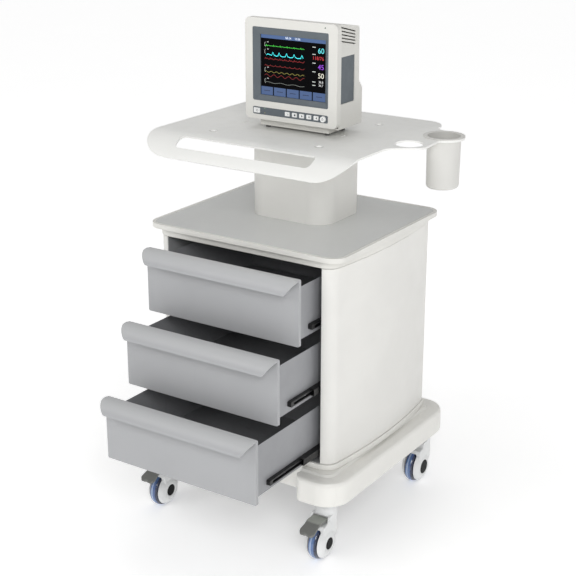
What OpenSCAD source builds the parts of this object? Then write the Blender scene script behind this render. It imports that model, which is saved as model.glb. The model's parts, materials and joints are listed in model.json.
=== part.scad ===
// Crash cart: a hospital trolley on four swivel casters, with three drawers on telescopic
// rails, a worktop, a raised tray on a column, a lift-out bin and a bedside monitor.
// Millimetres. The floor is z = 0, the drawers open towards -Y.

/* [Worktop] */
// Width of the worktop
worktop_w = 630; // [600:5:660]
// Depth of the worktop
worktop_d = 570; // [550:5:590]
// Height of the worktop's top face above the floor
worktop_z = 864; // [860:1:900]
// Radius of the worktop's corners
worktop_corner = 45; // [20:1:60]

/* [Cabinet] */
// Distance of the cabinet's front face ahead of the worktop's centre
cab_front = 268; // [262:1:272]
// Distance of the cabinet's back face behind the worktop's centre
cab_back = 271; // [268:1:276]
// Half width of the side panels at their widest
side_half = 305; // [300:1:308]
// How far the side panels curve in at 250 mm from their widest line
side_bow = 19; // [10:1:22]
// Thickness of the moulded side panels
panel_t = 4; // [3:0.5:5]

/* [Base] */
// Width of the base moulding
base_w = 690; // [670:5:710]
// Distance of the base's front edge ahead of the worktop's centre
base_front = 335; // [330:1:340]
// Distance of the base's back edge behind the worktop's centre
base_back = 322; // [315:1:330]
// Height of the base's lower edge above the floor
base_z = 175; // [175:1:178]
// Wall thickness of the base moulding
base_wall = 5; // [4:0.5:6]

/* [Casters] */
// Diameter of the wheels
wheel_d = 103; // [102:1:104]
// Half of the distance between the left and right wheels
caster_x = 276; // [270:1:280]
// Distance from a wheel's centre back to its swivel axis
trail = 28; // [26:1:30]
// Distance of the front swivel axes ahead of the worktop's centre
stem_front = 270; // [265:1:272]
// Distance of the back swivel axes behind the worktop's centre
stem_back = 276; // [270:1:278]

/* [Drawers] */
// Width of a drawer front
front_w = 495; // [490:1:496]
// Height of a drawer front
front_h = 182; // [180:1:182]
// Height from one drawer front to the next
drawer_pitch = 185; // [184.5:0.5:186]
// Height of the lowest drawer front's lower edge
drawer_z = 270; // [269:0.5:271]
// Depth of a drawer, from its front face to the back of its box
drawer_depth = 470; // [460:1:475]
// How far each lower drawer stands open beyond the one above it
open_step = 98; // [60:1:100]
// Length of the telescopic rails, which is also their travel
rail_l = 400; // [380:5:400]
// How far the handle flap stands out from a drawer front
flap_out = 38; // [34:1:40]

/* [Tray] */
// Height of the tray's top face above the floor
tray_z = 1116; // [1100:1:1130]
// Width of the tray without its wing
tray_w = 650; // [640:5:660]
// Distance of the tray's back edge behind the worktop's centre
tray_back = 284; // [280:1:290]
// Thickness of the tray's sheet
tray_t = 6; // [5:0.5:7]
// Radius of the bend that turns the tray's front edge down
bend_r = 112; // [108:1:116]
// Angle of that bend
bend_a = 58.8; // [56:0.2:60]

/* [Bin] */
// Distance of the bin's axis right of the worktop's centre
bin_x = 386; // [384:1:388]
// Distance of the bin's axis behind the worktop's centre
bin_y = 135; // [133:1:137]
// Outer radius of the bin's wall at the top
bin_r = 46.5; // [45:0.5:46.5]
// Outer radius of the bin's flange
flange_r = 57; // [56:0.5:58]
// Depth of the bin below the tray's top face
bin_deep = 142; // [120:1:145]

/* [Monitor] */
// Distance of the monitor's middle right of the worktop's centre
mon_x = 26; // [24:0.5:28]
// Distance of the monitor's front face ahead of the worktop's centre
mon_front = 72; // [68:1:76]
// Width of the monitor's bezel
mon_w = 294; // [292:1:296]
// Height of the monitor's bezel
mon_h = 275; // [275:1:280]

/* [Hidden] */
$fn = 96;
e = 0.01;                                   // lets a cut run past the face it opens
gap = 0.05;                                 // radial clearance of a running fit

drawers = 3;
open = [for (i = [1 : drawers]) i * open_step];          // how far each drawer stands open
z_of = [for (i = [1 : drawers]) drawer_z + (drawers - i) * drawer_pitch];

// The origin is under the middle of the whole cart's box at rest
x_min = -base_w / 2;
x_max = bin_x + flange_r;
y_min = -cab_front - open[drawers - 1] - flap_out;
y_max = base_back;
shift = [-(x_min + x_max) / 2, -(y_min + y_max) / 2, 0];

cab_z0 = 266;                               // top of the bottom frame
cab_z1 = worktop_z - 35;                    // underside of the top frame
carcass_half = 253;
carcass_t = 1.5;
frame_z0 = base_z + 75;                     // underside of the bottom frame
wheel_r = wheel_d / 2;
collar_r = 30.5;
collar_z = base_z - 9;                      // top of a caster's collar
stem_r = 10;
axle_r = 6;
tyre_half = 13.5;
pedal_pivot = [1, 121];                     // pivot of a brake pedal, from the wheel's centre line
pin_r = 2.5;

box_half = 229;                             // half width of a drawer's box
rail_z = 31;                                // rail's middle above a drawer front's lower edge
rail_back = 72;                             // front end of the rails behind a drawer front
sheet = 1.5;

bezel_d = 20;
mon_z0 = tray_z + 29;                       // lower edge of the bezel
key_z = mon_z0 + 24;
key_pitch = 23;
key_xs = [for (i = [0 : 4]) mon_x - 8.9 + i * key_pitch];
power_x = mon_x - 108.8;
knob_x = mon_x + 106.5;
key_size = [15, 11.5];
power_size = [20, 13.5];

// ---- outlines ---------------------------------------------------------------------------

function unit(v) = v / norm(v);
function xy(p) = [p[0], p[1]];
function wrap(a) = a > 180 ? a - 360 : a < -180 ? a + 360 : a;
function arc(c, r, a0, a1, n) =
    [for (i = [0 : n]) let (a = a0 + (a1 - a0) * i / n) c + r * [cos(a), sin(a)]];

// The points of one corner c, between p and n, rounded to radius r
function corner(p, c, n, r) =
    let (u = unit(p - c), v = unit(n - c), half = acos(u * v) / 2,
         m = c + unit(u + v) * r / sin(half),
         s = c + u * r / tan(half) - m, t = c + v * r / tan(half) - m,
         a0 = atan2(s[1], s[0]), turn = wrap(atan2(t[1], t[0]) - a0))
    arc(m, r, a0, a0 + turn, max(2, ceil(abs(turn) / 6)));

// An outline whose corners are [x, y, radius]
function rounded(p) = [for (i = [0 : len(p) - 1])
    each p[i][2] > 0
        ? corner(xy(p[(i + len(p) - 1) % len(p)]), xy(p[i]), xy(p[(i + 1) % len(p)]), p[i][2])
        : [xy(p[i])]];
function rect(x0, x1, y0, y1, r) =
    rounded([[x0, y0, r], [x1, y0, r], [x1, y1, r], [x0, y1, r]]);

// The right half of an outline, followed by its mirror image
function both(p) = concat(p, [for (i = [len(p) - 1 : -1 : 0]) [-p[i][0], p[i][1]]]);

// The cabinet seen from above, grown by o: flat front, round corners, bowed sides
function side_x(y) = side_half - side_bow * pow(y / 250, 2);
function cabinet(o) = both(concat(
    arc([250, 39 - cab_front], 39 + o, -90, -8, 12),
    [for (y = [-215 : 18 : 250]) [side_x(y) + o, y]],
    arc([side_x(cab_back) - 12, cab_back - 12], 12 + o, 8, 90, 8)));

// A plain rounded rectangle inside the cabinet's outline, shrunk by o
function cabinet_rect(o) =
    rect(o - side_half + 10, side_half - 10 - o, o - cab_front, cab_back - o, 39 - o);

// The base seen from above, shrunk by o, with its toe recess between the front lobes
function base_recessed(o) =
    let (w = base_w / 2 - o, f = o - base_front, b = base_back - o, x = 208 + o,
         y = o - cab_front - 4)
    rounded([[-w, f, 69 - o], [-x, f, 30 - o], [-x, y, 20 + o], [x, y, 20 + o], [x, f, 30 - o],
             [w, f, 69 - o], [w, b, 69 - o], [-w, b, 69 - o]]);

// ---- helpers ----------------------------------------------------------------------------

module placed() translate(shift) children();
module slab(p, z0, z1) translate([0, 0, z0]) linear_extrude(z1 - z0) polygon(p);

// Extrudes a shape drawn in y and z along X, from x0 to x1
module along_x(x0, x1) translate([x0, 0, 0]) rotate([90, 0, 90]) linear_extrude(x1 - x0) children();

// Extrudes a shape drawn in x and z along Y, from y0 to y1
module along_y(y0, y1) translate([0, y1, 0]) rotate([90, 0, 0]) linear_extrude(y1 - y0) children();

// Turns a profile drawn in radius and x about an axis along X
module lathe_x() rotate([0, 90, 0]) rotate_extrude() children();
module box(x0, x1, y0, y1, z0, z1)
    translate([x0, y0, z0]) cube([x1 - x0, y1 - y0, z1 - z0]);
module post(x, y, z0, z1, r) translate([x, y, z0]) cylinder(h = z1 - z0, r = r);
module bar_x(y, z, x0, x1, r) translate([x0, y, z]) rotate([0, 90, 0]) cylinder(h = x1 - x0, r = r);
module bar_y(x, z, y0, y1, r) translate([x, y1, z]) rotate([90, 0, 0]) cylinder(h = y1 - y0, r = r);
module each_side() { children(); mirror([1, 0, 0]) children(); }

// ---- base and cabinet -------------------------------------------------------------------

// The base's edge in section, as [inset, height]: round lower edge, upright wall, rounded
// upper edge, ledge, and a shallow groove along the cabinet
base_edge = [[4, 0], [1, 1.5], [0, 5], [0, 58], [1.2, 64], [4.5, 68.5], [11, 71], [25, 72],
             [30, 69.5], [41, 69.5], [46, 75]];
base_corner = 70;

// A rounded block with that edge all round, shrunk by inset and lowered by drop
module base_bulk(inset, drop) {
    p = [for (s = base_edge) [s[0] + inset, base_z + s[1] - drop]];
    n = len(p) - 1;
    x = base_w / 2 - base_corner;
    y0 = base_corner - base_front;
    y1 = base_back - base_corner;
    along_x(-x, x) polygon(concat([for (q = p) [base_back - q[0], q[1]]],
                                  [for (i = [n : -1 : 0]) [p[i][0] - base_front, p[i][1]]]));
    along_y(y0, y1) polygon(both([for (q = p) [base_w / 2 - q[0], q[1]]]));
    for (c = [[x, y1, 0], [-x, y1, 90], [-x, y0, 180], [x, y0, 270]])
        translate([c[0], c[1], 0]) rotate(c[2]) rotate_extrude(angle = 90)
            polygon(concat([[0, p[0][1]]], [for (q = p) [base_corner - q[0], q[1]]], [[0, p[n][1]]]));
}

module base_shell() color([0.93, 0.93, 0.92]) placed() difference() {
    intersection() {
        base_bulk(0, 0);
        slab(base_recessed(0), base_z, frame_z0);
    }
    intersection() {
        base_bulk(base_wall, base_wall + 1);
        slab(base_recessed(base_wall), base_z - 10, frame_z0);
    }
}

stems = [[-caster_x, -stem_front], [caster_x, -stem_front], [-caster_x, stem_back],
         [caster_x, stem_back]];

// Square tubes along both sides and across, with a socket for each caster's stem
tube_half = 18;
tube_wall = 2.5;
tube_z = [205, 235];
cross_ys = [-190, 190];

module tubes(o) {
    each_side() box(caster_x - tube_half + o, caster_x + tube_half - o, -stem_front, stem_back,
                    tube_z[0] + o, tube_z[1] - o);
    for (y = cross_ys)
        box(-caster_x, caster_x, y - tube_half + o, y + tube_half - o, tube_z[0] + o, tube_z[1] - o);
}

module chassis() color([0.45, 0.46, 0.48]) placed() difference() {
    union() {
        difference() {
            tubes(0);
            tubes(tube_wall);
        }
        for (y = cross_ys) each_side() post(150, y, tube_z[1], frame_z0 - base_wall - 1, 14);
        for (s = stems) {
            post(s[0], s[1], base_z + 2, tube_z[1] + 3, 22);
            post(s[0], s[1], base_z + 2, base_z + 6, 36);
        }
    }
    for (s = stems) post(s[0], s[1], base_z, tube_z[1] + 4, stem_r + gap);
}

module bottom_frame() color([0.92, 0.92, 0.91]) placed() difference() {
    slab(cabinet(4.5), frame_z0, cab_z0);
    slab(cabinet_rect(24), frame_z0 - e, cab_z0 - 4);
}

// The steel box that holds the rails, open at the front
module carcass() color([0.80, 0.80, 0.80]) placed() difference() {
    box(-carcass_half, carcass_half, 2 - cab_front, 262, cab_z0, cab_z1);
    box(carcass_t - carcass_half, carcass_half - carcass_t, -cab_front, 262 - carcass_t,
        cab_z0 + carcass_t, cab_z1 - carcass_t);
    for (p = screw_spots) bar_y(p[0], p[1], 255, 265, 2.2);
}

module side_panel() difference() {
    slab(cabinet(0), cab_z0 + 1, cab_z1 - 2);
    slab(cabinet(-panel_t), cab_z0, cab_z1);
    box(-400, carcass_half + 0.2, -400, 400, cab_z0, cab_z1);
}

module side_panel_left() color([0.91, 0.91, 0.90]) placed() mirror([1, 0, 0]) side_panel();
module side_panel_right() color([0.91, 0.91, 0.90]) placed() side_panel();

screw_spots = [for (x = [-230, 0, 230]) for (z = [290, 548, 806]) [x, z]];

module back_panel() color([0.90, 0.90, 0.89]) placed() difference() {
    box(-252, 252, 262, 266, cab_z0 + 2, cab_z1 - 3);
    for (p = screw_spots) bar_y(p[0], p[1], 255, 270, 2.2);
}

module panel_screws() color([0.7, 0.7, 0.7]) placed() for (p = screw_spots) {
    bar_y(p[0], p[1], 256, 266, 2.1);
    bar_y(p[0], p[1], 266, 267.6, 4.5);
    bar_y(p[0], p[1], 267.6, 268.4, 3.6);
}

module top_frame() color([0.92, 0.92, 0.91]) placed() difference() {
    slab(cabinet(3), cab_z1, worktop_z - 14);
    slab(cabinet_rect(26), cab_z1 - e, worktop_z - 18);
}

mat_inset = 10;
mat_t = 1.5;

function worktop_plan(o) = rect(o - worktop_w / 2, worktop_w / 2 - o, o - worktop_d / 2,
                                worktop_d / 2 - o, worktop_corner - o);

module worktop() color([0.93, 0.93, 0.92]) placed() difference() {
    slab(worktop_plan(0), worktop_z - 14, worktop_z);
    slab(worktop_plan(mat_inset), worktop_z - mat_t, worktop_z + e);
}

module worktop_mat() color([0.74, 0.74, 0.73]) placed()
    slab(worktop_plan(mat_inset + 0.2), worktop_z - mat_t, worktop_z);

// ---- column and tray --------------------------------------------------------------------

function column_plan(o) = rect(o - 130, 130 - o, o - 60, 155 - o, 57 - o);

module column() color([0.78, 0.78, 0.77]) placed() difference() {
    slab(column_plan(0), worktop_z, tray_z - tray_t);
    slab(column_plan(3), worktop_z - 1, tray_z);
}

module column_plates() color([0.5, 0.5, 0.52]) placed() {
    slab(column_plan(3.2), worktop_z, worktop_z + 6);
    slab(column_plan(3.2), tray_z - tray_t - 6, tray_z - tray_t);
}

bend_y = -203;                              // line where the tray's flat face ends
fold_r = 86.5;                              // radius of the front corners, measured on the sheet
slot_half = 216.5;
cup = [351, 4, 38];                         // cup hole: x, y and radius
bolt_x = 171;
bolt_ys = [-155, 160];
tray_half = tray_w / 2;

// Right edge of the tray and its wing, from the bend to the back
wing = [[tray_half, bend_y, 0], [tray_half, -76, 34], [406, -17, 22], [399, 79, 14], [428, 103, 0],
        [376, 190, 0], [tray_half, 206, 24], [tray_half, tray_back, 60]];

// The edge of the bent part as it is seen from the front: a round corner laid out on the sheet
function bent(s) = tray_z - bend_r * (1 - cos(s / bend_r * 180 / PI));
bend_l = bend_r * bend_a * PI / 180;
fold_edge = [for (i = [0 : 16]) let (s = bend_l - fold_r + fold_r * sin(90 * i / 16))
    [tray_half - fold_r + sqrt(pow(fold_r, 2) - pow(s - bend_l + fold_r, 2)), bent(s)]];

module tray_slot() intersection() {
    // a rounded cutter that stands square on the sheet, in the middle of the slot
    translate([0, bend_y, tray_z - bend_r]) rotate([28.5, 0, 0])
        slab(rect(-slot_half, slot_half, -23.5, 23.5, 17), bend_r - 30, bend_r + 30);
    box(-300, 300, -400, 0, tray_z - 90, tray_z + 30);
}

module tray() color([0.86, 0.86, 0.85]) placed() difference() {
    union() {
        slab(rounded(concat(wing, [[-tray_half, tray_back, 60], [-tray_half, bend_y, 0]])),
             tray_z - tray_t, tray_z);
        post(bin_x, bin_y, tray_z - tray_t, tray_z, flange_r);
        intersection() {
            translate([0, bend_y, tray_z - bend_r]) rotate([180, -90, 0])
                rotate_extrude(angle = bend_a, $fn = 360)
                    translate([bend_r - tray_t, -tray_half]) square([tray_t, tray_w]);
            along_y(-400, 0) polygon(both(concat([[tray_half, tray_z + 1]], fold_edge,
                                                 [[tray_half - fold_r, bent(bend_l) - 9]])));
        }
    }
    tray_slot();
    for (x = [-bolt_x, bolt_x]) for (y = bolt_ys) post(x, y, tray_z - 10, tray_z + 1, 8);
    post(cup[0], cup[1], tray_z - 10, tray_z + 1, cup[2]);
    post(bin_x, bin_y, tray_z - 10, tray_z + 1, bin_r + 1);
    each_side() for (y = [-26, -8]) post(161, y, tray_z - 10, tray_z + 1, 2.5);
    each_side() box(158.5, 163.5, -26, -8, tray_z - 10, tray_z + 1);
}

module bin() color([0.88, 0.88, 0.87]) placed() translate([bin_x, bin_y, 0]) rotate_extrude() {
    z0 = tray_z - bin_deep;
    foot_r = bin_r - 1.5;
    polygon(concat(
        [[0, z0]],
        arc([foot_r - 9, z0 + 9], 9, -90, 0, 8),
        [[bin_r, tray_z], [flange_r - 1.2, tray_z]],
        arc([flange_r - 1.2, tray_z + 1.2], 1.2, -90, 90, 8),
        [[bin_r + 1, tray_z + 2.6], [bin_r - 2, tray_z + 1.6]],
        arc([foot_r - 10, z0 + 10], 8, 0, -90, 8),
        [[0, z0 + 2]]));
}

// ---- drawers and rails ------------------------------------------------------------------

// A channel that opens towards the drawer, lying along Y: web at x1, lips back to x0
module channel(x0, x1, h, y0) difference() {
    box(x0, x1, y0, y0 + rail_l, -h / 2, h / 2);
    box(x0 - 1, x1 - sheet, y0 - 1, y0 + rail_l + 1, sheet - h / 2, h / 2 - sheet);
}

rail_y = rail_back - cab_front;             // front end of the closed rails

module fixed_rails() color([0.10, 0.10, 0.11]) placed() for (z = z_of)
    translate([0, 0, z + rail_z]) each_side()
        channel(240, carcass_half - carcass_t, 23, rail_y);

module mid_rails(i) color([0.13, 0.13, 0.14]) placed()
    translate([0, -open[i - 1] / 2, z_of[i - 1] + rail_z]) each_side()
        channel(234, 249.4, 19, rail_y);

module drawer_rails(i) color([0.16, 0.16, 0.17]) placed()
    translate([0, -open[i - 1], z_of[i - 1] + rail_z]) each_side() difference() {
        along_x(box_half, 241) polygon(rect(rail_y, rail_y + rail_l, -7.5, 7.5, 3));
        along_x(box_half + 4, 242)
            polygon(rect(rail_y + 14, rail_y + rail_l - 14, -4.5, 4.5, 2));
    }

front_t = 10;

// Handle flap seen from the side: it leaves the front's top edge level and curves down
module flap_profile(y) translate([y, front_h]) polygon(concat(
    [[4, 0]],
    [for (a = [0 : 6 : 90]) [-flap_out * sin(a), (flap_out - 2) * (cos(a) - 1)]],
    [for (a = [90 : -6 : 0])
        [-(flap_out - 4) * sin(a), (flap_out - 2) * (cos(a) - 1) - 4 * cos(a)]],
    [[4, -4]]));

module drawer_front(i) color([0.70, 0.71, 0.72]) placed()
    translate([0, -cab_front - open[i - 1], z_of[i - 1]]) union() {
        w = front_w / 2;
        along_y(0, front_t) polygon(rect(-w, w, 0, front_h, 4));
        low = front_h - flap_out + 2;
        intersection() {
            along_x(-w, w) flap_profile(0);
            along_y(-60, 10)
                polygon(rounded([[-w, front_h + 1, 0], [-w, front_h - 3, 0], [22 - w, low, 9],
                                 [w - 22, low, 9], [w, front_h - 3, 0], [w, front_h + 1, 0]]));
        }
    }

module drawer_box(i) color([0.66, 0.67, 0.68]) placed()
    translate([0, -cab_front - open[i - 1], z_of[i - 1]]) difference() {
        box(-box_half, box_half, front_t, drawer_depth, 6, front_h - 30);
        box(sheet - box_half, box_half - sheet, front_t + sheet, drawer_depth - sheet,
            6 + sheet, front_h);
    }

// ---- casters ----------------------------------------------------------------------------

// A caster is drawn around its wheel's centre line, with the swivel axis behind it
function wheel_at(k) = [stems[k][0], stems[k][1] - trail, 0];

cover_r = 45;
cover_half = 31;
well_r = wheel_r + 2.5;                     // room around a tyre
well_half = tyre_half + 2;
pedal_slot_half = 24;                       // slot that a brake pedal sits in
pedal_slot_z = [113, 131];                  // the collar starts at its top
neck_z = 133;                               // top of the neck, inside the collar

// The back casters have the larger end caps
function cap_r(k) = k < 2 ? 17 : 21.5;

module cover(k) lathe_x() polygon(concat(
    [[axle_r + gap, well_half], [cover_r, well_half]],
    [[cover_r - 0.6, well_half + 2], [cover_r - 3, 20.5], [38.5, 24.3], [33.5, 28], [28, 30.4],
     [cap_r(k) + 4, cover_half], [cap_r(k) + 0.3, cover_half - 1],
     [cap_r(k) + 0.3, cover_half - 5], [axle_r + gap, cover_half - 5]]));

// Hood over the wheel: a lip in front, flanks that run into the covers, and a round back
// wall in line with the collar
module shell_neck() intersection() {
    along_x(-cover_half, cover_half)
        polygon([[1, neck_z], [-4, 129], [-6, 116], [-25, 110], [-27, 99], [-14, wheel_r],
                 [40, wheel_r + 4], [46, 75], [trail + collar_r, 90], [trail + collar_r, neck_z]]);
    along_y(-100, 100)
        polygon(both([[24, wheel_r - 1], [27.5, 80], [29, 105], [29.5, neck_z]]));
    slab(rounded([[-collar_r, -30, 0], [-collar_r, trail + collar_r, collar_r - 0.5],
                  [collar_r, trail + collar_r, collar_r - 0.5], [collar_r, -30, 0]]),
         wheel_r - 2, neck_z);
}

module caster_shell(k) color([0.90, 0.90, 0.89]) placed() translate(wheel_at(k)) difference() {
    union() {
        translate([0, 0, wheel_r]) each_side() cover(k);
        shell_neck();
        translate([0, trail, 0]) rotate_extrude() polygon(concat(
            [[stem_r + gap, pedal_slot_z[1]], [collar_r, pedal_slot_z[1]]],
            [for (z = [collar_z - 17, collar_z - 9], p = [[0, 0], [1, 0.7], [1, 1.7], [0, 2.4]])
                [collar_r - p[0], z + p[1]]],
            arc([collar_r - 4, collar_z - 4], 4, 0, 90, 5),
            [[stem_r + gap, collar_z]]));
    }
    bar_x(0, wheel_r, -well_half, well_half, well_r);
    bar_x(0, wheel_r, -60, 60, axle_r + gap);
    each_side() bar_x(0, wheel_r, cover_half - 5, 60, cap_r(k) + 0.3);
    post(0, trail, 128, collar_z + 1, stem_r + gap);
    if (k < 2) {
        box(-pedal_slot_half, pedal_slot_half, -60, 7, pedal_slot_z[0], pedal_slot_z[1]);
        bar_x(pedal_pivot[0], pedal_pivot[1], -40, 40, pin_r + gap);
    }
}

// The steel pins of a caster: the stem with the dark bearing plate over the collar, the axle
// with its end caps, and the pedal's pin
module caster_pins(k) color([0.12, 0.12, 0.13]) placed() translate(wheel_at(k)) {
    translate([0, trail, 0]) rotate_extrude()
        polygon([[0, 130], [stem_r, 130], [stem_r, collar_z], [28, collar_z], [28, collar_z + 6],
                 [stem_r, collar_z + 6], [stem_r, 236], [stem_r - 2, 238], [0, 238]]);
    translate([0, 0, wheel_r]) {
        bar_x(0, 0, 5 - cover_half, cover_half - 5, axle_r);
        each_side() lathe_x() polygon([[0, cover_half - 5], [cap_r(k), cover_half - 5],
            [cap_r(k), cover_half - 1.5], [cap_r(k) - 1.5, cover_half - 0.5],
            [0, cover_half - 0.2]]);
    }
    if (k < 2) bar_x(pedal_pivot[0], pedal_pivot[1], -27, 27, pin_r);
}

core_r = 36;

module wheel_core(k) color([0.80, 0.80, 0.82]) placed() translate(wheel_at(k))
    translate([0, 0, wheel_r]) lathe_x()
        polygon(let (h = tyre_half, b = axle_r + gap)
            [[b, -h], [15, -h], [17, 1 - h], [28, 4 - h], [30, 1 - h], [core_r, 1 - h],
             [core_r, h - 1], [30, h - 1], [28, h - 4], [17, h - 1], [15, h], [b, h]]);

module tyre(k) color([0.35, 0.45, 0.72]) placed() translate(wheel_at(k))
    translate([0, 0, wheel_r]) lathe_x() polygon(concat(
        [[core_r + 0.05, 1 - tyre_half], [wheel_r - 8, -tyre_half]],
        [for (a = [-60 : 10 : 60]) [wheel_r - 6 + 6 * cos(a * 1.5), (tyre_half - 1) * sin(a * 1.5)]],
        [[wheel_r - 8, tyre_half], [core_r + 0.05, tyre_half - 1]]));

// A two-lobed foot pedal: level over the pivot, then sloping down in front of the wheel
module brake_pedal(k) color([0.42, 0.43, 0.43]) placed() translate(wheel_at(k)) difference() {
    union() {
        intersection() {
            along_x(-25, 25)
                polygon([[5, 118], [5, 124.5], [-35, 126], [-75, 109], [-80, 104], [-76, 101.5],
                         [-36, 119]]);
            slab(rounded([[-23, 6, 0], [-23, -29, 9], [-21, -46, 6], [-24, -70, 9],
                          [-13, -81, 9], [0, -74, 5], [13, -81, 9], [24, -70, 9],
                          [21, -46, 6], [23, -29, 9], [23, 6, 0]]), 95, pedal_slot_z[1]);
        }
        bar_x(pedal_pivot[0], pedal_pivot[1], 1 - pedal_slot_half, pedal_slot_half - 1, 4.3);
    }
    bar_x(pedal_pivot[0], pedal_pivot[1], -30, 30, pin_r + gap);
}

// ---- monitor ----------------------------------------------------------------------------

module on_monitor() placed() translate([mon_x, -mon_front, mon_z0]) children();

screen_x = [-101, 107];                 // left and right of the display
screen_z = [67, 231];                       // and its lower and upper edge
frame_x = [-122.5, 119.5];
frame_z = [51.5, 251];
panel_x = [-122.5, 119.5];
panel_z = [13.2, 34];

module key_cut(x, s, y0, y1, o)
    box(x - mon_x - s[0] / 2 - o, x - mon_x + s[0] / 2 + o, y0, y1,
        key_z - mon_z0 - s[1] / 2 - o, key_z - mon_z0 + s[1] / 2 + o);

module key_cuts(y0, y1, o) {
    for (x = key_xs) key_cut(x, key_size, y0, y1, o);
    key_cut(power_x, power_size, y0, y1, o);
}

module monitor_bezel() color([0.90, 0.90, 0.88]) on_monitor() difference() {
    along_y(0, bezel_d) polygon(rect(-mon_w / 2, mon_w / 2, 0, mon_h, 15));
    along_y(-1, bezel_d + 1) window(frame_x, frame_z, 0, 5);
    along_y(-1, 1.6) window(panel_x, panel_z, 0, 4);
    key_cuts(-1, 12, 1);
    bar_y(knob_x - mon_x, key_z - mon_z0, -1, 14, 3 + gap);
    bar_y(108.5, 264, -1, 1, 2.2);
}

// A rounded opening given by its sides and its lower and upper edge, shrunk by o
module window(x, z, o, r) polygon(rect(x[0] + o, x[1] - o, z[0] + o, z[1] - o, r));

module monitor_key_panel() color([0.30, 0.35, 0.38]) on_monitor() difference() {
    along_y(-0.4, 1.6) window(panel_x, panel_z, 0.1, 3.9);
    key_cuts(-2, 3, 0.4);
    bar_y(knob_x - mon_x, key_z - mon_z0, -2, 3, 3.4);
}

module key(x, s) color([0.88, 0.89, 0.90]) on_monitor() translate([x - mon_x, 0, key_z - mon_z0])
    difference() {
        along_y(-2.2, 6) polygon(rect(-s[0] / 2, s[0] / 2, -s[1] / 2, s[1] / 2, 1.5));
        along_y(4, 7) square([s[0] - 3, s[1] - 3], center = true);
    }

module monitor_knob() color([0.90, 0.90, 0.90]) on_monitor()
    translate([knob_x - mon_x, 0, key_z - mon_z0]) rotate([90, 0, 0]) rotate_extrude()
        polygon(concat([[0, -12], [3, -12], [3, 1], [8.2, 1], [7.9, 6]],
                       arc([6.3, 6.2], 1.6, 0, 90, 5), [[5.2, 7.8], [4.6, 7.2], [0, 7.2]]));

// The slate surround slopes in from the bezel to the display
module monitor_screen_frame() color([0.38, 0.43, 0.46]) on_monitor() difference() {
    along_y(0.6, 14) window(frame_x, frame_z, 0.1, 4.9);
    along_y(-1, 20) window(screen_x, screen_z, 0, 1);
    hull() {
        along_y(0.59, 0.6) window(frame_x, frame_z, 5, 3);
        along_y(6, 6.01) window(screen_x, screen_z, 0, 1);
    }
    along_y(9, 20) window(screen_x, screen_z, -3.2, 1);
}

module monitor_screen() color([0.02, 0.03, 0.05]) on_monitor()
    along_y(9, 13) window(screen_x, screen_z, -3, 1);

case_half = mon_w / 2 - 4;
bay_y = [23, 96];                           // recessed bay in the right side: front to back
bay_z = [62, 187];
vents = 5;

module housing_profile(o) polygon([
    [bezel_d, o - 5], [132 - o, o - 5], [136 - o, o], [136 - o, 92 - o * 0.5], [119 - o, 114 - o],
    [117 - o, 254 - o], [112 - o, 260 - o], [bezel_d, 273 - o]]);

module monitor_housing() color([0.87, 0.87, 0.85]) on_monitor() difference() {
    union() {
        difference() {
            along_x(-case_half, case_half) housing_profile(0);
            along_x(3 - case_half, case_half - 3) housing_profile(3);
            box(3 - case_half, case_half - 3, bezel_d - 1, bezel_d + 1, -1, 268);
        }
        box(case_half - 9, case_half - 2, bay_y[0] - 2, bay_y[1] + 3, bay_z[0] - 3, bay_z[1] + 3);
        box(-115, 106, 26, 130, tray_z + 8 - mon_z0, -5);
    }
    along_x(case_half - 5, case_half + 1) window(bay_y, bay_z, 0, 3);
    each_side() for (i = [0 : vents - 1])
        translate([case_half - 4, bezel_d + 2, 264 - 9 * i]) rotate([0.6 * i - 14, 0, 0])
            cube([8, 77, 3.4]);
}

module monitor_side_panel() color([0.36, 0.39, 0.41]) on_monitor()
    along_x(case_half - 5, case_half - 2.5) window(bay_y, bay_z, 0.2, 2.8);

module monitor_feet() color([0.08, 0.08, 0.08]) on_monitor()
    for (x = [-100, 92]) for (y = [42, 120]) post(x, y, tray_z - mon_z0, tray_z + 8 - mon_z0, 7);

// ---- pieces -----------------------------------------------------------------------------

base_shell();
chassis();
bottom_frame();
carcass();
side_panel_left();
side_panel_right();
back_panel();
panel_screws();
top_frame();
worktop();
worktop_mat();
column();
column_plates();
tray();
fixed_rails();
drawer_front(1);  // drawer_front_1
drawer_front(2);  // drawer_front_2
drawer_front(3);  // drawer_front_3
drawer_box(1);  // drawer_box_1
drawer_box(2);  // drawer_box_2
drawer_box(3);  // drawer_box_3
drawer_rails(1);  // drawer_rails_1
drawer_rails(2);  // drawer_rails_2
drawer_rails(3);  // drawer_rails_3
mid_rails(1);  // mid_rails_1
mid_rails(2);  // mid_rails_2
mid_rails(3);  // mid_rails_3
bin();
caster_shell(0);  // caster_shell_fl
caster_shell(1);  // caster_shell_fr
caster_shell(2);  // caster_shell_bl
caster_shell(3);  // caster_shell_br
caster_pins(0);  // caster_pins_fl
caster_pins(1);  // caster_pins_fr
caster_pins(2);  // caster_pins_bl
caster_pins(3);  // caster_pins_br
wheel_core(0);  // wheel_core_fl
wheel_core(1);  // wheel_core_fr
wheel_core(2);  // wheel_core_bl
wheel_core(3);  // wheel_core_br
tyre(0);  // tyre_fl
tyre(1);  // tyre_fr
tyre(2);  // tyre_bl
tyre(3);  // tyre_br
brake_pedal(0);  // brake_pedal_fl
brake_pedal(1);  // brake_pedal_fr
monitor_bezel();
monitor_housing();
monitor_screen_frame();
monitor_screen();
monitor_key_panel();
monitor_side_panel();
monitor_feet();
key(power_x, power_size);  // power_key
key(key_xs[0], key_size);  // soft_key_1
key(key_xs[1], key_size);  // soft_key_2
key(key_xs[2], key_size);  // soft_key_3
key(key_xs[3], key_size);  // soft_key_4
key(key_xs[4], key_size);  // soft_key_5
monitor_knob();
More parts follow.
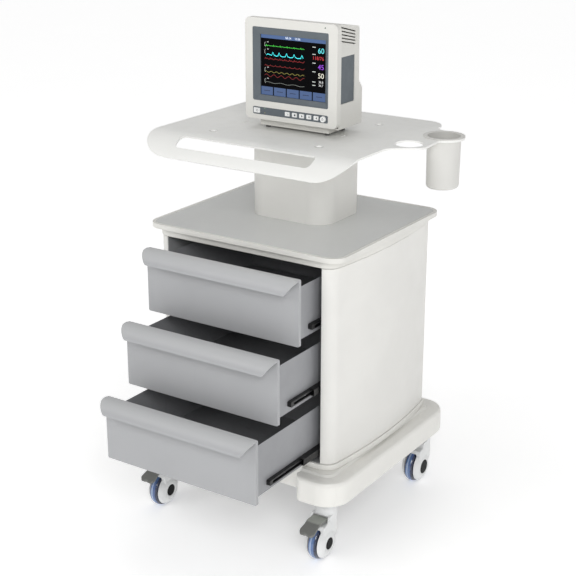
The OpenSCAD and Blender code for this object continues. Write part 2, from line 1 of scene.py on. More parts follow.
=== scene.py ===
import json
import math

import bmesh
import bpy
from mathutils import Matrix, Vector


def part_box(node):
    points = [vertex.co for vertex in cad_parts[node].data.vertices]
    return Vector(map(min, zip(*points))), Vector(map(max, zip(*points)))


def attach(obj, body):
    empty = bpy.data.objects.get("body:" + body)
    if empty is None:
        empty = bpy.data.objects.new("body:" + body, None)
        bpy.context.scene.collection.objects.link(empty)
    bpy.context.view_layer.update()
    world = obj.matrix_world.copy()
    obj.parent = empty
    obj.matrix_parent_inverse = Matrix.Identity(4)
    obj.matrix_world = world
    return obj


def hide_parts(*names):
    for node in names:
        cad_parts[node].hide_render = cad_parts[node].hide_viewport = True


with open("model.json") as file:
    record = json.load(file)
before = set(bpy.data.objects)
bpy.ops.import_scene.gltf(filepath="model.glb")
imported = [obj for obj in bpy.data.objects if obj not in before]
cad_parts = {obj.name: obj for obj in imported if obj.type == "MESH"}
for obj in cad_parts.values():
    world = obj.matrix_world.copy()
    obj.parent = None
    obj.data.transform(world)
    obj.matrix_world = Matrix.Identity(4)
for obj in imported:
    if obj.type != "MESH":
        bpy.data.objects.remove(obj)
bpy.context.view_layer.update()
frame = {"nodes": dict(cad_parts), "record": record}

NODES = frame["nodes"]
BODY_OF = {n: b for b, names in frame["record"]["behaviour"]["bodies"].items() for n in names}
SLOT_OF = {p["node"]: p["material_slot"] for p in frame["record"]["subparts"]}
SCENE = bpy.context.scene

# at() takes millimetres from the floor point under the worktop's middle
low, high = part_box("worktop")
MIDDLE = Vector(((low.x + high.x) / 2, (low.y + high.y) / 2, 0))


def at(x, y, z):
    return MIDDLE + Vector((x, y, z)) / 1000


# ---- materials --------------------------------------------------------------------------

def linear(rgb):
    """A colour given as screen values from 0 to 255, as the shader wants it."""
    return tuple(c / 255 / 12.92 if c < 11 else ((c / 255 + .055) / 1.055) ** 2.4 for c in rgb) + (1,)


class Graph:
    """A node material that is built up around one Principled shader."""

    def __init__(self, name, material=None):
        self.material = material or bpy.data.materials.new(name)
        self.material.use_nodes = True
        self.tree = self.material.node_tree
        self.shader = next(n for n in self.tree.nodes if n.type == "BSDF_PRINCIPLED")
        self.where = self.add("ShaderNodeTexCoord").outputs["Object"]

    def add(self, kind, inputs=None, **settings):
        node = self.tree.nodes.new(kind)
        for key, value in settings.items():
            setattr(node, key, value)
        for key, value in (inputs or {}).items():
            self.put(node.inputs[key], value)
        return node

    def put(self, socket, value):
        if isinstance(value, bpy.types.NodeSocket):
            self.tree.links.new(value, socket)
        else:
            socket.default_value = value

    def noise(self, scale, detail=3, stretch=None, kind="ShaderNodeTexNoise"):
        where = self.where
        if stretch:
            where = self.add("ShaderNodeMapping", {"Vector": where, "Scale": stretch}).outputs[0]
        inputs = {"Vector": where, "Scale": scale}
        if kind == "ShaderNodeTexNoise":
            inputs["Detail"] = detail
            return self.add(kind, inputs).outputs[0]
        return self.add(kind, inputs).outputs["Distance"]

    def remap(self, value, low, high, to_low=0., to_high=1.):
        return self.add("ShaderNodeMapRange", {0: value, 1: low, 2: high, 3: to_low, 4: to_high},
                        interpolation_type="SMOOTHSTEP").outputs[0]

    def math(self, operation, a, b=0.):
        return self.add("ShaderNodeMath", {0: a, 1: b}, operation=operation).outputs[0]

    def mix(self, share, a, b):
        return self.add("ShaderNodeMix", {0: share, 6: a, 7: b}, data_type="RGBA").outputs[2]

    def height(self):
        return self.add("ShaderNodeSeparateXYZ", {0: self.where}).outputs[2]

    def facing_up(self):
        normal = self.add("ShaderNodeNewGeometry").outputs["Normal"]
        return self.add("ShaderNodeSeparateXYZ", {0: normal}).outputs[2]

    def shut_in(self, distance):
        """1 in the open, less where other surfaces stand within the distance."""
        return self.add("ShaderNodeAmbientOcclusion", {"Distance": distance}).outputs["AO"]

    def bump(self, value, distance, strength=1., under=None):
        inputs = {"Height": value, "Distance": distance, "Strength": strength}
        if under is not None:
            inputs["Normal"] = under
        return self.add("ShaderNodeBump", inputs).outputs[0]

    def set(self, **sockets):
        for key, value in sockets.items():
            self.put(self.shader.inputs[key.replace("_", " ")], value)


BLACK = (0, 0, 0, 1)
DUST = (170, 168, 160)


def dimmed(colour, share):
    """A shader colour scaled by a share, never above full white."""
    return tuple(min(1, c * share) for c in colour[:3]) + (1,)


def finish(name, rgb, rough, vary=.03, cloud=5., grain=0., grain_scale=900., peel=0.,
           scuff=0., zone=None, dust=0., painted_light=None, **sockets):
    """A moulded or painted surface: drifting tone, uneven gloss, a fine grain and long scuffs.

    A zone is the two heights in metres between which the scuffs fade out. With a colour of painted
    light, the surface takes that colour where it faces up, painted light from above, and is darkened
    where it is shut in, painted shade.
    """
    g = Graph(name)
    base = linear(rgb)
    tone = g.remap(g.noise(cloud, 4), .35, .65)
    colour = g.mix(tone, dimmed(base, 1 - vary), dimmed(base, 1 + vary))
    gloss = g.remap(g.noise(cloud * 6, 3), .3, .7, rough * .85, rough * 1.18)
    if scuff:
        lines = g.remap(g.noise(45, 5, stretch=(1, 1, .12)), .60, .72)
        patch = g.remap(g.noise(7, 2), .48, .62)
        mask = g.math("MULTIPLY", g.math("MULTIPLY", lines, patch), scuff)
        if zone:
            near = g.remap(g.height(), zone[0], zone[1], 1., .15)
            mask = g.math("MULTIPLY", mask, near)
        colour = g.mix(mask, colour, dimmed(base, .78))
        gloss = g.math("ADD", gloss, g.math("MULTIPLY", mask, .2))
    if painted_light:
        # painted light: lighter where the surface faces up
        colour = g.mix(g.remap(g.facing_up(), .1, 1.), colour, linear(painted_light))
        # painted shade: darker where other surfaces stand close
        colour = g.mix(g.remap(g.shut_in(.08), .1, .75, .42, 0.), colour, BLACK)
    if dust:
        level = g.remap(g.facing_up(), .6, 1.)
        lying = g.math("MULTIPLY", level, g.remap(g.noise(30, 5), .45, .75))
        colour = g.mix(g.math("MULTIPLY", lying, dust), colour, linear(DUST))
        gloss = g.math("ADD", gloss, g.math("MULTIPLY", lying, dust * .6))
    normal = None
    if peel:
        normal = g.bump(g.noise(160, 2), peel)
    if grain:
        normal = g.bump(g.noise(grain_scale, 2), grain, under=normal)
    g.set(Base_Color=colour, Roughness=gloss)
    if normal is not None:
        g.set(Normal=normal)
    g.set(**sockets)
    return g.material


def brushed(name, rgb, rough, axis=1, **sockets):
    """Drawn metal with fine streaks along one axis."""
    g = Graph(name)
    base = linear(rgb)
    stretch = [1., 1., 1.]
    stretch[axis] = .02
    streaks = g.noise(900, 3, stretch=tuple(stretch))
    g.set(Base_Color=g.mix(g.remap(streaks, .3, .7), dimmed(base, .8), base),
          Roughness=g.remap(g.noise(25, 4), .3, .7, rough * .8, rough * 1.3),
          Normal=g.bump(streaks, .00003), Metallic=1.)
    g.set(**sockets)
    return g.material


def glow(name, rgb, strength):
    """A lit part of the display: slightly uneven light over a dark base."""
    g = Graph(name)
    dots = g.remap(g.noise(2500, 1), .3, .7, .8, 1.)
    g.set(Base_Color=g.mix(dots, BLACK, dimmed(linear(rgb), .4)),
          Emission_Color=g.mix(dots, BLACK, linear(rgb)), Roughness=.25)
    g.shader.inputs["Emission Strength"].default_value = strength
    return g.material


def tyre_material():
    """Glossy blue tread with a painted highlight, a whitish streak down its middle, and darker navy
    where it faces along the axle; the axle lies along X.
    """
    tread_dark, tread_light, tread_worn = (76, 102, 154), (104, 132, 178), (140, 158, 195)
    navy, painted_highlight_rgb = (20, 30, 60), (186, 205, 230)
    g = Graph("tyre_polyurethane")
    tone = g.remap(g.noise(18, 4), .35, .65)
    tint = g.mix(tone, linear(tread_dark), linear(tread_light))
    normal = g.add("ShaderNodeTexCoord").outputs["Normal"]
    along = g.add("ShaderNodeSeparateXYZ", {0: normal}).outputs[0]
    wall = g.remap(g.math("ABSOLUTE", along), .18, .62)
    tint = g.mix(wall, tint, linear(navy))
    # painted highlight: a whitish streak where the tread faces just off its middle
    painted_light = g.remap(g.math("ABSOLUTE", g.math("ADD", along, .06)), .02, .15, .75, 0.)
    tint = g.mix(painted_light, tint, linear(painted_highlight_rgb))
    streaks = g.noise(300, 3, stretch=(.25, 1, 1))
    worn = g.math("MULTIPLY", g.remap(streaks, .55, .8), .5)
    g.set(Base_Color=g.mix(worn, tint, linear(tread_worn)),
          Roughness=g.remap(g.noise(60, 4), .3, .7, .10, .24), Normal=g.bump(streaks, .00006))
    g.set(Subsurface_Weight=.25, Subsurface_Radius=(.2, .4, 1.), Subsurface_Scale=.006,
          Coat_Weight=1., Coat_Roughness=.06, IOR=1.5)
    return g.material


def pad_material(name, rgb, rough, grain=.00002, level=None):
    """Fine pebbled sheet, as on the worktop and the pedals; level faces may take a lighter colour,
    painted light from above.
    """
    g = Graph(name)
    base = linear(rgb)
    cells = g.noise(650, kind="ShaderNodeTexVoronoi")
    tone = g.remap(g.noise(4, 3), .35, .65)
    colour = g.mix(tone, dimmed(base, .985), base)
    if level:
        # painted light: level faces lighter, as if lit from above
        colour = g.mix(g.remap(g.facing_up(), .94, .985), colour, linear(level))
    g.set(Base_Color=colour, Normal=g.bump(cells, grain),
          Roughness=g.remap(g.noise(40, 3), .3, .7, rough * .92, rough * 1.08))
    return g.material


def tray_material():
    """Satin white sheet, dished a little around each of its four bolt holes."""
    hole_x, hole_y, hole_back = .171, .1575, .0025   # half the holes' spacings, and their offset
    rim, lip = .0075, .0135                          # the dish lies between these radii
    material = finish("tray_satin_white", (234, 234, 231), .34, vary=.015, scuff=.1, dust=.04)
    g = Graph(material.name, material)
    x, y, _ = g.add("ShaderNodeSeparateXYZ", {0: g.where}).outputs
    x = g.math("SUBTRACT", g.math("ABSOLUTE", g.math("SUBTRACT", x, MIDDLE.x)), hole_x)
    y = g.math("SUBTRACT", g.math("SUBTRACT", y, MIDDLE.y), hole_back)
    y = g.math("SUBTRACT", g.math("ABSOLUTE", y), hole_y)
    reach = g.math("SQRT", g.math("ADD", g.math("MULTIPLY", x, x), g.math("MULTIPLY", y, y)))
    grain = g.bump(g.noise(1100, 2), .00002)
    g.set(Normal=g.bump(g.remap(reach, rim, lip), .0035, under=grain))
    return material


LOOKS = {
    "moulded_white": finish("white_abs", (234, 233, 228), .34, grain=.00002, peel=.0002,
                            scuff=.25, zone=(.18, .26), dust=.05),
    "panel_white": finish("white_powder_coat", (227, 226, 222), .42, vary=.02, grain=.00003,
                          grain_scale=700, scuff=.12, zone=(.26, .7)),
    "inner_grey": finish("inside_grey_coat", (150, 151, 152), .55, grain=.00004, scuff=.4),
    "mat_grey": pad_material("worktop_sheet", (207, 208, 207), .24, .000004),
    "column_grey": finish("column_grey_coat", (223, 222, 218), .45, vary=.02, grain=.00003,
                          scuff=.25),
    "tray_sheet": tray_material(),
    # the fronts get painted light where they face up and painted shade under the flaps
    "drawer_grey": finish("drawer_satin_grey_painted_light", (168, 169, 171), .40, vary=.02, cloud=4,
                          grain=.00003, grain_scale=800, scuff=.12, painted_light=(188, 189, 190)),
    "drawer_steel": finish("drawer_box_coat", (150, 151, 154), .45, vary=.03, grain=.00003, scuff=.5),
    "rail_black": finish("rail_black_zinc", (13, 13, 14), .42, vary=.25, cloud=30, grain=.00002),
    "zinc_steel": brushed("zinc_plate", (150, 152, 155), .38),
    "bin_white": finish("bin_white", (211, 210, 206), .36, vary=.025, grain=.00002, scuff=.25),
    "caster_white": finish("caster_nylon", (230, 231, 231), .34, vary=.03, cloud=14, grain=.00003,
                           scuff=.5, dust=.1),
    "pin_dark": finish("axle_cap_dark", (16, 16, 18), .55, vary=.3, cloud=220, grain=.00008,
                       grain_scale=500, Specular_IOR_Level=.2),
    "core_grey": finish("wheel_core_grey", (150, 154, 162), .45, vary=.06, cloud=30, grain=.00003),
    "tyre_blue": tyre_material(),
    # its level faces get a lighter grey: painted light from above
    "pedal_grey": pad_material("pedal_grey_nylon", (118, 119, 116), .5,
                               level=(168, 171, 164)),
    "monitor_white": finish("monitor_shell", (216, 215, 210), .42, vary=.015, cloud=9,
                            grain=.00005, grain_scale=1300),
    "monitor_slate": finish("monitor_slate", (88, 96, 102), .45, vary=.04, cloud=12,
                            grain=.00005, grain_scale=1300),
    "screen": finish("display_glass", (4, 4, 6), .3, vary=.2, cloud=20, Specular_IOR_Level=.04),
    "key_white": finish("key_white", (232, 233, 232), .38, vary=.03, cloud=60, grain=.00002),
    "rubber_black": finish("rubber_foot", (26, 26, 27), .7, vary=.2, cloud=50, grain=.00006),
}

# Nodes whose tone differs from the other pieces of their slot. The worktop's edge and the top band
# are darker copies of their slot's white: painted shade.
OWN_LOOKS = {
    "worktop": finish("worktop_edge_shaded_white", (222, 221, 216), .36, grain=.00002, peel=.0002),
    "top_frame": finish("top_band_shaded_white", (221, 220, 215), .36, grain=.00002, peel=.0002),
    # a darker copy of the monitor shell's white: painted shade
    "monitor_housing": finish("monitor_case_shaded", (212, 211, 206), .45, vary=.02, cloud=9,
                              grain=.00005, grain_scale=1300),
    "monitor_feet": finish("foot_grey_rubber", (88, 89, 88), .7, vary=.15, cloud=50, grain=.00006),
}


# ---- meshes -----------------------------------------------------------------------------

def evaluated(obj):
    """Applies an object's modifiers."""
    graph = bpy.context.evaluated_depsgraph_get()
    mesh = bpy.data.meshes.new_from_object(obj.evaluated_get(graph))
    obj.modifiers.clear()
    obj.data = mesh
    return obj


def soften(obj, crease=50):
    """Smooth shading that keeps flat faces flat and real creases sharp."""
    mesh = obj.data
    mesh.shade_smooth()
    mesh.set_sharp_from_angle(angle=math.radians(crease))
    weighted = obj.modifiers.new("weighted", "WEIGHTED_NORMAL")
    weighted.keep_sharp = True
    return evaluated(obj)


def add_piece(obj, body, material, replaced=()):
    """Puts a piece on its body and hides the CAD nodes it stands for."""
    obj.data.materials.clear()
    obj.data.materials.append(material)
    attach(obj, body)
    if replaced:
        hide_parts(*replaced)
    return obj


def link(name, data):
    """A new object in the scene."""
    obj = bpy.data.objects.new(name, data)
    SCENE.collection.objects.link(obj)
    return obj


def cad_copy(node, name):
    """The node's mesh with its triangles joined back into whole faces."""
    bm = bmesh.new()
    bm.from_mesh(NODES[node].data)
    bmesh.ops.remove_doubles(bm, verts=bm.verts, dist=2e-6)
    bmesh.ops.dissolve_degenerate(bm, edges=bm.edges, dist=1e-6)
    if node != "monitor_housing":       # its slotted side does not join into one clean face
        flat = math.radians(.4)
        bmesh.ops.dissolve_limit(bm, verts=bm.verts, edges=bm.edges, angle_limit=flat)
    mesh = bpy.data.meshes.new(name)
    bm.to_mesh(mesh)
    bm.free()
    return link(name, mesh)


def skin(node, width, segments=3, crease=32):
    """Stands for a CAD node: the same solid with its sharp edges rounded by width millimetres."""
    obj = cad_copy(node, node + "_skin")
    bevel = obj.modifiers.new("bevel", "BEVEL")
    bevel.width = width / 1000
    bevel.segments = segments
    bevel.limit_method = "ANGLE"
    bevel.angle_limit = math.radians(crease)
    bevel.use_clamp_overlap = True
    bevel.miter_outer = "MITER_ARC"
    soften(evaluated(obj))
    slot = SLOT_OF[node]
    return add_piece(obj, BODY_OF[node], OWN_LOOKS.get(node, LOOKS[slot]), [node])


def moulded(node, voxel, rounds):
    """Stands for a CAD node as one flowing moulding: remeshed in millimetre voxels, then relaxed."""
    obj = cad_copy(node, node + "_moulding")
    remesh = obj.modifiers.new("remesh", "REMESH")
    remesh.mode = "VOXEL"
    remesh.voxel_size = voxel / 1000
    relax = obj.modifiers.new("relax", "SMOOTH")
    relax.factor = .5
    relax.iterations = rounds
    evaluated(obj)
    obj.data.shade_smooth()
    slot = SLOT_OF[node]
    return add_piece(obj, BODY_OF[node], LOOKS[slot], [node])


def from_faces(name, points, faces):
    mesh = bpy.data.meshes.new(name)
    mesh.from_pydata([tuple(p) for p in points], [], faces)
    bm = bmesh.new()
    bm.from_mesh(mesh)
    bmesh.ops.recalc_face_normals(bm, faces=bm.faces)
    bm.to_mesh(mesh)
    bm.free()
    return link(name, mesh)


def joined(name, parts):
    """One mesh from several lists of (points, faces)."""
    points, faces = [], []
    for some_points, some_faces in parts:
        start = len(points)
        points += some_points
        faces += [[start + i for i in f] for f in some_faces]
    return from_faces(name, points, faces)


def prism(outline, place, depth):
    """A plate from an outline of (u, v); place(u, v, w) gives the point w millimetres deep."""
    n = len(outline)
    points = [place(u, v, 0) for u, v in outline] + [place(u, v, depth) for u, v in outline]
    faces = [list(range(n)), list(range(2 * n - 1, n - 1, -1))] + band(n, 0, n)
    return points, faces


def band(n, lower, upper):
    """The faces between two closed rings of n points, given by where each ring starts."""
    return [[lower + k, lower + (k + 1) % n, upper + (k + 1) % n, upper + k] for k in range(n)]


def ribbon(line, width, place, depth):
    """A flat line of an even width through the points of line."""
    left, right = [], []
    for i, p in enumerate(line):
        a, b = Vector(line[max(i - 1, 0)]), Vector(line[min(i + 1, len(line) - 1)])
        along = (b - a).normalized() if (b - a).length else Vector((1, 0))
        side = Vector((-along.y, along.x)) * width / 2
        left.append(Vector(p) + side)
        right.append(Vector(p) - side)
    n = len(line)
    points = [place(p.x, p.y, w) for w in (0, depth) for p in left + right]
    faces = [[0, n, 3 * n, 2 * n], [n - 1, 2 * n - 1, 4 * n - 1, 3 * n - 1]]
    for i in range(n - 1):
        faces.append([i, i + 1, n + i + 1, n + i])
        faces.append([2 * n + i, 2 * n + i + 1, 3 * n + i + 1, 3 * n + i])
        faces.append([i, i + 1, 2 * n + i + 1, 2 * n + i])
        faces.append([n + i, n + i + 1, 3 * n + i + 1, 3 * n + i])
    return points, faces


def arc(u, v, r, degrees):
    """Points around (u, v), one for each angle from the u axis."""
    return [(u + r * math.cos(math.radians(a)), v + r * math.sin(math.radians(a))) for a in degrees]


def rectangle(u0, u1, v0, v1, r=0., n=5):
    """An outline, with its corners rounded by r in n steps each."""
    if not r:
        return [(u0, v0), (u1, v0), (u1, v1), (u0, v1)]
    corners = ((u1 - r, v0 + r, -90), (u1 - r, v1 - r, 0),
               (u0 + r, v1 - r, 90), (u0 + r, v0 + r, 180))
    points = []
    for u, v, start in corners:
        points += arc(u, v, r, [start + 90 * k / n for k in range(n + 1)])
    return points


# ---- the CAD pieces, with their edges rounded ---------------------------------------------

# For each node, the rounding in millimetres and its number of steps
EDGES = {
    "base_shell": (1.5, 3), "chassis": (1.5, 2), "bottom_frame": (2.2, 3), "carcass": (.5, 2),
    "side_panel_left": (1.2, 3), "side_panel_right": (1.2, 3), "back_panel": (.8, 2),
    "panel_screws": (.3, 2), "top_frame": (1.6, 3), "worktop": (2.8, 3), "worktop_mat": (.5, 2),
    "column": (.6, 2), "column_plates": (.5, 2), "tray": (1.8, 3), "fixed_rails": (.4, 2),
    "bin": (.3, 2), "monitor_bezel": (2.6, 3), "monitor_housing": (.6, 2),
    "monitor_screen_frame": (.5, 2), "monitor_screen": (.2, 2), "monitor_key_panel": (.3, 2),
    "monitor_side_panel": (.3, 2), "monitor_feet": (.8, 2), "power_key": (.9, 3),
    "monitor_knob": (.4, 2),
}
for i in range(1, 6):
    EDGES[f"soft_key_{i}"] = (.8, 3)
for i in range(1, 4):
    EDGES[f"drawer_front_{i}"] = (1.3, 3)
    EDGES[f"drawer_box_{i}"] = (.6, 2)
    EDGES[f"drawer_rails_{i}"] = (.5, 2)
    EDGES[f"mid_rails_{i}"] = (.5, 2)
CORNERS = ("fl", "fr", "bl", "br")
for c in CORNERS:
    EDGES["caster_pins_" + c] = (.5, 2)
    EDGES["wheel_core_" + c] = (.5, 2)
    EDGES["tyre_" + c] = (.4, 2)
EDGES["brake_pedal_fl"] = EDGES["brake_pedal_fr"] = (1.2, 3)

for node, (width, steps) in EDGES.items():
    skin(node, width, steps)
for c in CORNERS:
    moulded("caster_shell_" + c, 1.1, 2)


# ---- the monitor's display -----------------------------------------------------------------

FACE_Y = -63.02                     # the display's front face
PROUD = .12                         # how far the lit parts stand on it
DISPLAY_LEFT = -74.6                # its left edge
BUTTONS = [DISPLAY_LEFT + 41.7 * k for k in range(5)]     # left edges of the row at the foot


def on_display(x, z, w):
    return at(x, FACE_Y - w, z)


def stroke(line, width):
    """A lit line on the display."""
    return ribbon(line, width, on_display, PROUD)


def panel(outline, depth=PROUD):
    """A lit area on the display."""
    return prism(outline, on_display, depth)


def lit(name, parts, rgb, strength):
    material = glow(name + "_light", rgb, strength)
    return add_piece(joined(name, parts), "cart", material)


def number(name, text, size, x, z, rgb, strength):
    """A figure on the display, centred on x and z."""
    curve = bpy.data.curves.new(name, "FONT")
    curve.body = text
    curve.size = size / 1000
    curve.extrude = PROUD / 2000
    curve.align_x = "CENTER"
    curve.align_y = "CENTER"
    letters = link(name + "_curve", curve)
    letters.matrix_world = (Matrix.Translation(on_display(x, z, PROUD / 2))
                            @ Matrix.Rotation(math.radians(90), 4, "X"))
    bpy.context.view_layer.update()
    graph = bpy.context.evaluated_depsgraph_get()
    mesh = bpy.data.meshes.new_from_object(letters.evaluated_get(graph))
    mesh.transform(letters.matrix_world)
    obj = link(name, mesh)
    bpy.data.objects.remove(letters)
    return add_piece(obj, "cart", glow(name + "_light", rgb, strength))


def trace(name, height, period, shape, rgb, strength):
    """One curve that sweeps across the display; shape(t) is its rise, with t from 0 to 1."""
    line = []
    for step in range(-126, 131):
        x = step / 2
        line.append((x, height + shape(((x + 63) % period) / period)))
    return lit(name, [stroke(line, .9)], rgb, strength)


def peak_at(t, where, wide, high):
    return high * math.exp(-((t - where) / wide) ** 2)


def wave(high):
    return lambda t: high * math.sin(math.tau * t)


def heart_beat(t):
    return peak_at(t, .3, .03, 3.2) - peak_at(t, .38, .03, 1.2) + peak_at(t, .6, .08, 1.)


def pulse_double(t):
    return 4 * peak_at(t, .2, .1, 1.) + peak_at(t, .55, .15, 2.)


def pulse_single(t):
    return 3 * peak_at(t, .25, .12, 1.)


trace("trace_green", 1346, 22, heart_beat, (60, 190, 60), 1.6)
trace("trace_red_1", 1310, 15.5, pulse_double, (150, 30, 30), 1.)
trace("trace_red_2", 1292, 15.5, pulse_single, (140, 28, 28), 1.)
trace("trace_yellow", 1276, 17, wave(1.8), (150, 142, 66), .9)
trace("trace_red_3", 1266, 24, wave(3.2), (135, 28, 28), 1.)
trace("trace_grey", 1247, 42, wave(1.3), (120, 125, 120), 1.)

saw = [(-57, 1321), (-53, 1324)]
for peak in (-36, -16, 8, 32, 57):
    saw += [(peak - 4, 1321), (peak, 1330), (peak + 4, 1322), (peak + 11, 1320)]
lit("trace_cyan", [stroke(saw[:-1], 1.6)], (60, 215, 220), 1.8)

marks = []
for z in (1350, 1331, 1282, 1252):
    marks.append(stroke([(-60, z + 5), (-62.5, z + 3), (-62.5, z - 5), (-60, z - 7)], .7))
    marks.append(stroke([(-55, z + 6), (-50, z + 6)], 1.6))
for z in (1355, 1336, 1313, 1290, 1263, 1254):
    marks.append(stroke([(90, z), (100, z)], 1.8))
lit("display_marks", marks, (190, 195, 190), 1.2)

title = panel(rectangle(DISPLAY_LEFT, 132.6, 1366, 1375.6), PROUD / 2)
lit("display_title", [title], (70, 98, 146), .75)
number("title_figures", "08-24     10:36", 8, 28, 1370.8, (220, 228, 240), 1.2)
widths = (38.2, 38.2, 38.2, 38.2, 40.2)     # the last button runs on to the display's right edge
boxes = [panel(rectangle(x, x + wide, 1212.4, 1235), PROUD / 2) for x, wide in zip(BUTTONS, widths)]
lit("display_buttons", boxes, (66, 92, 138), .7)
bars = [stroke([(x + 9.6, 1224), (x + 28.6, 1224)], 1.8) for x in BUTTONS]
lit("button_bars", bars, (34, 48, 84), .5)

number("figure_cyan", "60", 20, 117, 1346, (90, 205, 212), 1.2)
number("figure_red", "118/76", 13, 108, 1326, (190, 40, 50), 1.)
number("figure_purple", "45", 19, 117, 1303, (140, 60, 205), 1.2)
number("figure_cream", "50", 19, 117, 1280, (225, 222, 205), 1.)
number("figure_small_1", "36.8", 8.5, 117, 1264, (215, 215, 215), 1.)
number("figure_small_2", "36.7", 8.5, 117, 1255, (215, 215, 215), 1.)


# ---- marks on the keys ----------------------------------------------------------------------

MARK = finish("key_print", (62, 66, 74), .5, vary=.1, cloud=80)
MARK_DEPTH = .1
KEY_Z = 1169                        # height of the keys' and the knob's middles
KEY_FACE = -74.2                    # front face of the keys
SOFT_KEY_X, SOFT_KEY_STEP = 18.6, 23
POWER_X = -81.3
KNOB_X, KNOB_FACE = 132.5, -79.2    # the knob's axis and the floor of its dish


def on_face(x, face):
    """Places a mark's (u, v) around the middle of a key or the knob, on its front face."""
    return lambda u, v, w: at(x + u, face - w, KEY_Z + v)


def key_mark(name, body, place, lines=(), areas=()):
    """A printed mark: lines are (points, width) and areas are outlines, both round the middle."""
    parts = [ribbon(line, width, place, MARK_DEPTH) for line, width in lines]
    parts += [prism(outline, place, MARK_DEPTH) for outline in areas]
    return add_piece(joined(name, parts), body, MARK)


SOFT_KEY_MARKS = (
    {"lines": [([(-2.5, 2.5), (2.5, 0), (-2.5, -2.5)], .9)]},
    {"areas": [rectangle(-2.4, 2.4, -2.4, 2.4)]},
    {"areas": [[(-2.2, -2.8), (2.8, 0), (-2.2, 2.8)]]},
    {"lines": [([(-3, v), (3, v)], .7) for v in (1.6, 0, -1.6)]},
    {"areas": [[(2.2, -2.8), (-2.8, 0), (2.2, 2.8)]]},
)
for k, mark in enumerate(SOFT_KEY_MARKS):
    face = on_face(SOFT_KEY_X + SOFT_KEY_STEP * k, KEY_FACE)
    key_mark(f"key_mark_{k + 1}", f"soft_key_{k + 1}_body", face, **mark)

open_ring = arc(0, 0, 3.2, [90 - a for a in range(40, 321, 14)])
key_mark("power_mark", "power_key_body", on_face(POWER_X, KEY_FACE),
         lines=[(open_ring, .8), ([(0, 4.2), (0, 0)], .8)])
key_mark("knob_mark", "knob", on_face(KNOB_X, KNOB_FACE),
         lines=[(arc(0, 0, 2.6, range(-120, 241, 20)), .7), ([(0, 1.2), (0, 4.2)], .9)])


# ---- indicator lamps -------------------------------------------------------------------------

def lamp(name, x, z, y, r, rgb, strength):
    """A small domed lens."""
    n = 16
    rings = [(r, 0.), (r * .92, .25 * r), (r * .7, .45 * r), (r * .35, .58 * r)]
    points = []
    for q, h in rings:
        points += [at(u, y - h, v) for u, v in arc(x, z, q, [360 * k / n for k in range(n)])]
    tip, back = len(points), len(points) + 1
    points += [at(x, y - .62 * r, z), at(x, y + .4, z)]
    faces = []
    for j in range(3):
        faces += band(n, n * j, n * (j + 1))
    faces += [[3 * n + k, 3 * n + (k + 1) % n, tip] for k in range(n)]
    faces += [[(k + 1) % n, k, back] for k in range(n)]
    obj = from_faces(name, points, faces)
    obj.data.shade_smooth()
    return add_piece(obj, "cart", glow(name + "_light", rgb, strength))


lamp("status_lamp", 134.5, 1409, -71.4, 1.8, (120, 150, 130), .25)
lamp("power_lamp_1", -57, 1176.2, -72.4, 1.3, (150, 190, 150), .5)
lamp("power_lamp_2", -57, 1164, -72.4, 1.3, (190, 180, 120), .4)


# ---- screws and strips on the drawers' rails ---------------------------------------------------

SCREW = brushed("screw_zinc", (176, 178, 182), .3, axis=2)
STRIP = finish("rail_strip_grey", (74, 75, 77), .45, vary=.2, cloud=30, grain=.00002)


def screw(place, r, high):
    """A low domed head with a cross recess; place(u, v, w) is w millimetres proud."""
    arm, slot = .62 * r, .16 * r
    cross = [(slot, slot), (arm, slot), (arm, -slot), (slot, -slot), (slot, -arm), (-slot, -arm),
             (-slot, -slot), (-arm, -slot), (-arm, slot), (-slot, slot), (-slot, arm), (slot, arm)]
    n, m = 24, len(cross)
    points, faces = [], []
    for q, h in ((r, 0.), (r, .35 * high), (.93 * r, .7 * high), (.72 * r, high)):
        points += [place(u, v, h) for u, v in arc(0, 0, q, [360 * k / n for k in range(n)])]
    for j in range(3):
        faces += band(n, n * j, n * (j + 1))
    top = len(points)
    points += [place(u, v, high) for u, v in cross] + [place(u, v, .35 * high) for u, v in cross]
    turned = [math.atan2(v, u) for u, v in cross]

    def nearest(step):
        """The corner of the cross that a point of the head's rim lies closest to."""
        a = math.tau * (step % n) / n
        return min(range(m), key=lambda c: abs(math.remainder(turned[c] - a, math.tau)))

    for k in range(n):                  # the ring of faces between the rim and the cross
        here, there = nearest(k), nearest(k + 1)
        a, b = 3 * n + k, 3 * n + (k + 1) % n
        faces.append([a, b, top + here])
        step = here
        while step != there:
            following = (step - 1) % m
            faces.append([b, top + following, top + step])
            step = following
    faces += band(m, top, top + m)
    faces.append([top + m + k for k in range(m)])
    faces.append(list(range(n)))
    return points, faces


RAIL_X = 233                        # outer faces of the drawers' rail members
STRIP_END = 18                      # how far the strips stop short of a member's ends


def on_rail(side, start, z):
    """Places u back from start, v up from the rail's middle and w out of its face on one side."""
    return lambda u, v, w: Vector((MIDDLE.x + side * (RAIL_X + w) / 1000,
                                   start + u / 1000, z + v / 1000))


for i in range(1, 4):
    low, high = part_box(f"drawer_rails_{i}")
    z = (low.z + high.z) / 2
    heads = []
    strips = []
    length = (high.y - low.y) * 1000
    outline = rectangle(STRIP_END, length - STRIP_END, -2., 2., 1.9)
    for side in (-1, 1):
        strips.append(prism(outline, on_rail(side, low.y, z), 3))
        for back in (74, 170, 266, 362):
            heads.append(screw(on_rail(side, low.y + back / 1000, z), 2.6, 4.2))
    add_piece(joined(f"rail_screws_{i}", heads), f"drawer_{i}", SCREW)
    add_piece(joined(f"rail_strips_{i}", strips), f"drawer_{i}", STRIP)


# ---- floor, light and camera --------------------------------------------------------------------

AIM = (0, 0, .8)                    # the point in metres that all three lights face


def area_light(name, spot, size, power):
    light = bpy.data.lights.new(name, "AREA")
    light.shape = "DISK"
    light.size = size
    light.energy = power
    obj = link(name, light)
    obj.location = spot
    obj.rotation_euler = (Vector(AIM) - Vector(spot)).to_track_quat("-Z", "Y").to_euler()


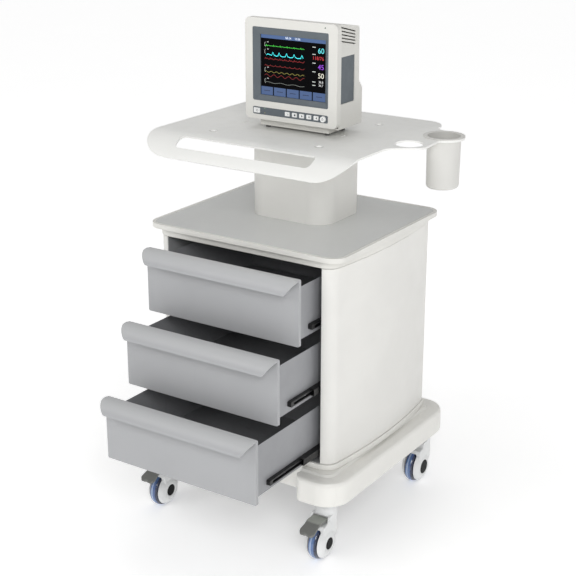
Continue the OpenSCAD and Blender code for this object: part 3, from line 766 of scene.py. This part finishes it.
REACH, TILES = 40., 24              # half the floor's width in metres, and its tiles a side
across = [REACH * (2 * i / TILES - 1) for i in range(TILES + 1)]
grid = [(x, y, 0.) for y in across for x in across]
starts = [j * (TILES + 1) + i for j in range(TILES) for i in range(TILES)]
tiles = [[k, k + 1, k + TILES + 2, k + TILES + 1] for k in starts]
floor = from_faces("floor", grid, tiles)
floor_look = Graph("floor_glow", finish("studio_floor", (250, 250, 250), .7, vary=.004, cloud=2))
away = floor_look.add("ShaderNodeVectorMath", {0: floor_look.where, 1: MIDDLE}, operation="DISTANCE")
# the floor glows, less near the cart's middle: painted shade around the cart
floor_look.set(Emission_Color=(1, 1, 1, 1),
               Emission_Strength=floor_look.remap(away.outputs["Value"], .5, 2.2, .34, .56))
floor.data.materials.append(floor_look.material)

world = bpy.data.worlds.new("studio")
SCENE.world = world
world.use_nodes = True
sky = world.node_tree
up = sky.nodes.new("ShaderNodeTexCoord")
split = sky.nodes.new("ShaderNodeSeparateXYZ")
shade = sky.nodes.new("ShaderNodeMapRange")
sky.links.new(up.outputs["Generated"], split.inputs[0])
sky.links.new(split.outputs[2], shade.inputs[0])

# from min, from max, to min, to max: strength .50 at the horizon, falling to .40 overhead
for socket, value in zip(shade.inputs[1:5], (0., 1., .50, .40)):
    socket.default_value = value

background = next(n for n in sky.nodes if n.type == "BACKGROUND")
background.inputs["Color"].default_value = (1, 1, 1, 1)
sky.links.new(shade.outputs[0], background.inputs["Strength"])

area_light("key", (2.6, -3.1, 2.8), 1.7, 72)
area_light("fill", (-1.9, -3.4, 3.0), 1.8, 25)
area_light("top", (-.3, .3, 3.6), 2.4, 15)

SCENE.view_settings.view_transform = "Standard"

# the photograph's camera, found by calibration
DOWN, TURN = 19.63, 33.62           # degrees below level, and around from the front
eye = bpy.data.cameras.new("camera")
eye.lens = 81.98
eye.sensor_width = 36.
camera = link("camera", eye)
camera.location = at(1953.9, -2982.6, 1917.1)
camera.rotation_euler = (math.radians(90 - DOWN), 0, math.radians(TURN))
SCENE.camera = camera

bpy.context.view_layer.update()
